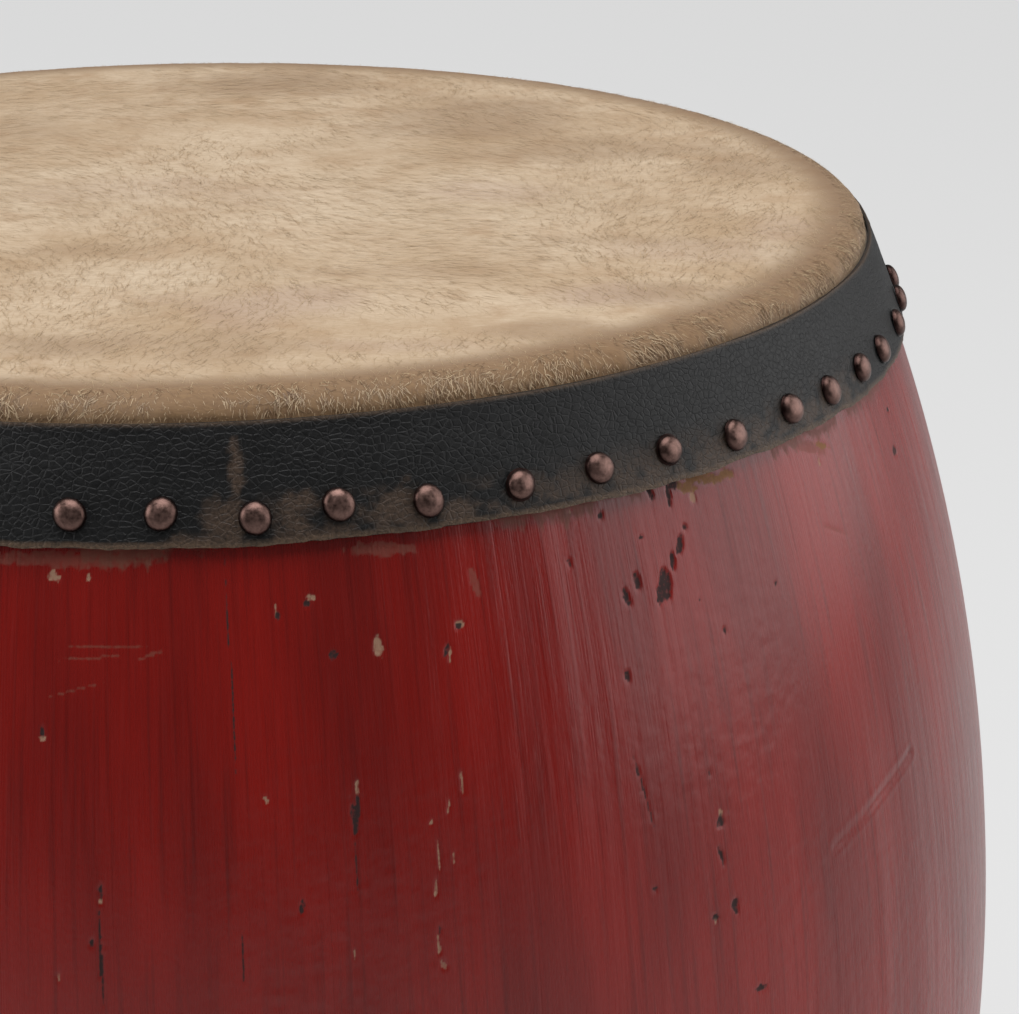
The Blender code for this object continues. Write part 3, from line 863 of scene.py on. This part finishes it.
def ramp(tree, value, low, high, start=0.0, end=1.0):
    """A rise from start to end while a value goes from low to high."""
    sockets = {"Value": value, "From Min": low, "From Max": high, "To Min": start, "To Max": end}
    return add(tree, "ShaderNodeMapRange", sockets).outputs[0]


def tinted(tree, share, color, hex_color):
    """A colour that takes up a share of another."""
    sockets = {0: share, 6: color, 7: linear(hex_color)}
    return add(tree, "ShaderNodeMix", sockets, data_type="RGBA").outputs[2]


def stretched(tree, place, scale, turn=0.0):
    """A place scaled each way on its own and turned about the upright."""
    sockets = {"Vector": place, "Scale": scale, "Rotation": (0, 0, turn)}
    return add(tree, "ShaderNodeMapping", sockets).outputs[0]


def clouds_at(tree, place, scale, detail, roughness=0.5, distortion=0.0):
    """A cloudy pattern whose lumps are one over its scale wide."""
    sockets = {"Vector": place, "Scale": scale, "Detail": detail, "Roughness": roughness,
               "Distortion": distortion}
    return add(tree, "ShaderNodeTexNoise", sockets).outputs["Fac"]


def new_material(name):
    """A material with its node tree and its main shader."""
    material = bpy.data.materials.new(name)
    material.use_nodes = True
    tree = material.node_tree
    return material, tree, tree.nodes["Principled BSDF"]


def set_surface(tree, shader, color, relief, strength, depth):
    """Links a colour and the bumps of a relief to a shader; the bumps' depth is in millimetres."""
    tree.links.new(color, shader.inputs["Base Color"])
    bump = add(tree, "ShaderNodeBump", {"Height": relief, "Strength": strength, "Distance": depth * MM})
    tree.links.new(bump.outputs[0], shader.inputs["Normal"])


# Patterns of the lacquer: width and length of their lumps in millimetres, and how detailed
LACQUER_PATTERNS = ((2.2, 70, 5), (34, 150, 4), (0.7, 26, 4), (1.6, 1.6, 3))

# What shows where the lacquer is marked: kind of mark, colour and strength
LACQUER_LAYERS = (("rubbed", "#6e4a38", 0.55), ("worn", "#7c4a38", 0.45), ("ochre", "#8a6136", 0.9),
                  ("bare", "#a8836a", 0.9), ("dark", "#1d0b09", 0.95))


def brushed_red_lacquer():
    """Thick red lacquer brushed along wooden staves: glossy on its ridges, with darker streaks."""
    material, tree, shader = new_material("brushed_red_lacquer")
    lie = attribute(tree, "lie", "Vector")
    grain, clouds, hairlines, spots = (
        clouds_at(tree, stretched(tree, lie, (1 / width, 1 / length, 1)), 1, detail)
        for width, length, detail in LACQUER_PATTERNS)
    color = tinted(tree, ramp(tree, clouds, 0.35, 0.65), linear("#78100a"), "#90150d")
    color = tinted(tree, ramp(tree, grain, 0.52, 0.75, end=0.55), color, "#560a07")
    broken = arithmetic(tree, "MULTIPLY", spots, 1.6)
    dull = 0.0
    for key, shade, strength in LACQUER_LAYERS:
        mark = arithmetic(tree, "MULTIPLY", attribute(tree, key), broken)
        mark = ramp(tree, mark, 0.3, 0.75, end=strength)
        color = tinted(tree, mark, color, shade)
        dull = arithmetic(tree, "MAXIMUM", dull, mark)
    gloss = ramp(tree, hairlines, 0.3, 0.7, start=0.22, end=0.34)
    gloss = add(tree, "ShaderNodeMix", {0: dull, 2: gloss, 3: 0.8}).outputs[0]
    tree.links.new(gloss, shader.inputs["Roughness"])
    ridges = arithmetic(tree, "ADD", grain, hairlines)
    relief = arithmetic(tree, "ADD", ridges, arithmetic(tree, "MULTIPLY", spots, 0.7))
    set_surface(tree, shader, color, relief, strength=0.6, depth=0.15)
    shader.inputs["IOR"].default_value = 1.52
    return material


# Patterns of the hide, in lumps per metre: clouds, smaller drifts and the coat's clumps each way,
# with the turn of the clumps in radians
HIDE_CLOUDS, HIDE_DRIFTS = 18, 60
COAT_CLUMPS, COAT_TURN = (250, 900, 500), 0.75

# The same for the hide
HIDE_LAYERS = (("pale", "#dccab0", 0.6), ("pink", "#b79c8b", 0.75), ("brown", "#8f6f50", 0.7),
               ("shoulder", "#74522f", 0.85))


def hair_on_cowhide():
    """Raw cowhide dried tight with its short coat: tan, mottled brown and pinkish, darker over the rim."""
    material, tree, shader = new_material("hair_on_cowhide")
    place = add(tree, "ShaderNodeTexCoord").outputs["Object"]
    clouds = clouds_at(tree, place, HIDE_CLOUDS, 7, roughness=0.62)
    drifts = clouds_at(tree, place, HIDE_DRIFTS, 6, roughness=0.6)
    coat = clouds_at(tree, stretched(tree, place, COAT_CLUMPS, COAT_TURN), 1, 4, distortion=1.2)
    color = tinted(tree, ramp(tree, clouds, 0.36, 0.66), linear("#d3bc9f"), "#b79a78")
    color = tinted(tree, ramp(tree, drifts, 0.5, 0.72, end=0.6), color, "#a98560")
    for key, shade, strength in HIDE_LAYERS:
        mark = arithmetic(tree, "MULTIPLY", attribute(tree, key), strength)
        color = tinted(tree, mark, color, shade)
    color = tinted(tree, ramp(tree, coat, 0.35, 0.7, end=0.4), color, "#a08058")
    set_surface(tree, shader, color, coat, strength=0.5, depth=0.25)
    shader.inputs["Roughness"].default_value = 0.75
    shader.inputs["Sheen Weight"].default_value = 0.15
    return material


def cow_hair():
    """Single cow hairs, grown and left on the hide: satin, from straw to brown."""
    material, tree, shader = new_material("cow_hair")
    color = tinted(tree, attribute(tree, "tone"), linear("#6f4f33"), "#c9b08d")
    tree.links.new(color, shader.inputs["Base Color"])
    shader.inputs["Roughness"].default_value = 0.55
    return material


# Patterns of the leather: width and length in millimetres of its pores, creased cells and dust
LEATHER_PATTERNS = ((1.1, 1.1), (2.6, 1.9), (16, 9))
CREASE_EDGE = 0.14

# The same for the leather
LEATHER_LAYERS = (("worn", "#5d4a3c", 0.75), ("edge", "#7b6450", 0.7))


def black_dyed_leather():
    """Dyed cow leather gone dry: satin, cracked and creased, brown where the dye has rubbed off."""
    material, tree, shader = new_material("black_dyed_leather")
    lie = attribute(tree, "lie", "Vector")
    pore_way, cell_way, dust_way = (stretched(tree, lie, (1 / width, 1 / length, 1))
                                    for width, length in LEATHER_PATTERNS)
    pores = clouds_at(tree, pore_way, 1, 6, roughness=0.7)
    cells = add(tree, "ShaderNodeTexVoronoi", {"Vector": cell_way, "Scale": 1},
                feature="DISTANCE_TO_EDGE").outputs["Distance"]
    dust = clouds_at(tree, dust_way, 1, 6, roughness=0.65)
    color = tinted(tree, ramp(tree, dust, 0.45, 0.75), linear("#060607"), "#131314")
    speckle = ramp(tree, pores, 0.35, 0.6, start=0.35)
    for key, shade, strength in LEATHER_LAYERS:
        mark = arithmetic(tree, "MULTIPLY", attribute(tree, key), speckle)
        color = tinted(tree, arithmetic(tree, "MULTIPLY", mark, strength), color, shade)
    gloss = ramp(tree, pores, 0.3, 0.7, start=0.38, end=0.62)
    tree.links.new(gloss, shader.inputs["Roughness"])
    shader.inputs["Specular IOR Level"].default_value = 0.35
    relief = arithmetic(tree, "ADD", pores, ramp(tree, cells, 0.0, CREASE_EDGE))
    set_surface(tree, shader, color, relief, strength=0.6, depth=0.2)
    return material


# Blotches on a tack per metre
COPPER_BLOTCHES = 700


def worn_copper():
    """Pressed copper-plated steel: brown in its pits, rubbed bright on the crowns."""
    material, tree, shader = new_material("worn_copper")
    place = add(tree, "ShaderNodeTexCoord").outputs["Object"]
    blotches = clouds_at(tree, place, COPPER_BLOTCHES, 6, roughness=0.65)
    rubbed = arithmetic(tree, "MULTIPLY", blotches, attribute(tree, "crown"))
    color = tinted(tree, ramp(tree, rubbed, 0.12, 0.62), linear("#2b1d1b"), "#876a62")
    gloss = ramp(tree, blotches, 0.3, 0.7, start=0.28, end=0.5)
    tree.links.new(gloss, shader.inputs["Roughness"])
    set_surface(tree, shader, color, blotches, strength=0.4, depth=0.12)
    shader.inputs["Metallic"].default_value = 1.0
    return material


# The studio: the floor's half size in metres, the share of its plain tone that direct and mirrored
# looks get, and how bright the surroundings look, mirror and light
FLOOR_HALF = 7.0
FLOOR_TONE, PAPER_TONE, WALL_TONE = "#ececec", "#d8d8d8", "#dcdcdc"
FLOOR_SHOWN, FLOOR_REFLECTED = 0.8, 0.35
WALL_SHOWN, WALL_REFLECTED, WALL_LIGHT = 0.92, 0.06, 0.08

# Soft boxes: azimuth and elevation in degrees, then distance, width and height in metres, and watts
SOFT_BOXES = {
    "right_box": (92, 18, 2.0, 2.6, 1.5, 19),
    "overhead_box": (30, 82, 2.2, 2.0, 2.0, 46),
    "left_box": (-75, 25, 2.6, 1.6, 1.6, 31),
}
LIGHT_TARGET = Vector((0, 0, 0.42))


def make_floor():
    """A plain pale floor that shows its own tone and a soft share of the drum's shadow."""
    mesh = bpy.data.meshes.new("floor")
    half = FLOOR_HALF
    mesh.from_pydata([(-half, -half, 0), (half, -half, 0), (half, half, 0), (-half, half, 0)], [],
                     [(0, 1, 2, 3)])
    floor = bpy.data.objects.new("floor", mesh)
    bpy.context.scene.collection.objects.link(floor)
    material = bpy.data.materials.new("pale_paper")
    material.use_nodes = True
    tree = material.node_tree
    tree.nodes.clear()
    path = add(tree, "ShaderNodeLightPath").outputs
    shown = arithmetic(tree, "MULTIPLY", path["Is Camera Ray"], FLOOR_SHOWN)
    share = arithmetic(tree, "MULTIPLY_ADD", path["Is Glossy Ray"], FLOOR_REFLECTED, shown)
    paper = add(tree, "ShaderNodeBsdfDiffuse", {"Color": linear(PAPER_TONE)}).outputs[0]
    glow = add(tree, "ShaderNodeEmission", {"Color": linear(FLOOR_TONE), "Strength": 1.0}).outputs[0]
    both = add(tree, "ShaderNodeMixShader", {0: share, 1: paper, 2: glow}).outputs[0]
    add(tree, "ShaderNodeOutputMaterial", {"Surface": both})
    mesh.materials.append(material)


def add_soft_box(name, azimuth, elevation, distance, width, height, power):
    """A soft box that looks at the drum's upper half; its azimuth runs as the shell's does."""
    turn, rise = math.radians(azimuth), math.radians(elevation)
    way = Vector((math.sin(turn) * math.cos(rise), -math.cos(turn) * math.cos(rise), math.sin(rise)))
    data = bpy.data.lights.new(name, "AREA")
    data.shape = "RECTANGLE"
    data.size, data.size_y = width, height
    data.energy = power
    light = bpy.data.objects.new(name, data)
    light.location = LIGHT_TARGET + way * distance
    light.rotation_euler = way.to_track_quat("Z", "Y").to_euler()
    bpy.context.scene.collection.objects.link(light)


def light_studio():
    """Three soft boxes in surroundings that look pale but give the drum little light."""
    for name, box in SOFT_BOXES.items():
        add_soft_box(name, *box)
    world = bpy.data.worlds.new("studio")
    world.use_nodes = True
    tree = world.node_tree
    path = add(tree, "ShaderNodeLightPath").outputs
    shown = arithmetic(tree, "MAXIMUM", path["Is Camera Ray"], path["Is Transmission Ray"])
    bright = arithmetic(tree, "MULTIPLY_ADD", shown, WALL_SHOWN, WALL_LIGHT)
    bright = arithmetic(tree, "MULTIPLY_ADD", path["Is Glossy Ray"], WALL_REFLECTED, bright)
    back = tree.nodes["Background"]
    back.inputs["Color"].default_value = linear(WALL_TONE)
    tree.links.new(bright, back.inputs["Strength"])
    bpy.context.scene.world = world
    bpy.context.scene.view_settings.view_transform = "Standard"


def build():
    """The drum in its studio."""
    place_camera()
    lacquer, hide, hair = brushed_red_lacquer(), hair_on_cowhide(), cow_hair()
    leather, copper = black_dyed_leather(), worn_copper()
    placed = placed_marks()
    for index in range(STAVES):
        make_stave(index, placed, lacquer)
    for upper, end in ((True, "top"), (False, "bottom")):
        make_head("head_" + end, upper, hide)
        head_hair(upper, hair)
        make_band("band_" + end, upper, leather)
        make_tacks("tacks_" + end, upper, copper)
    make_floor()
    light_studio()


build()
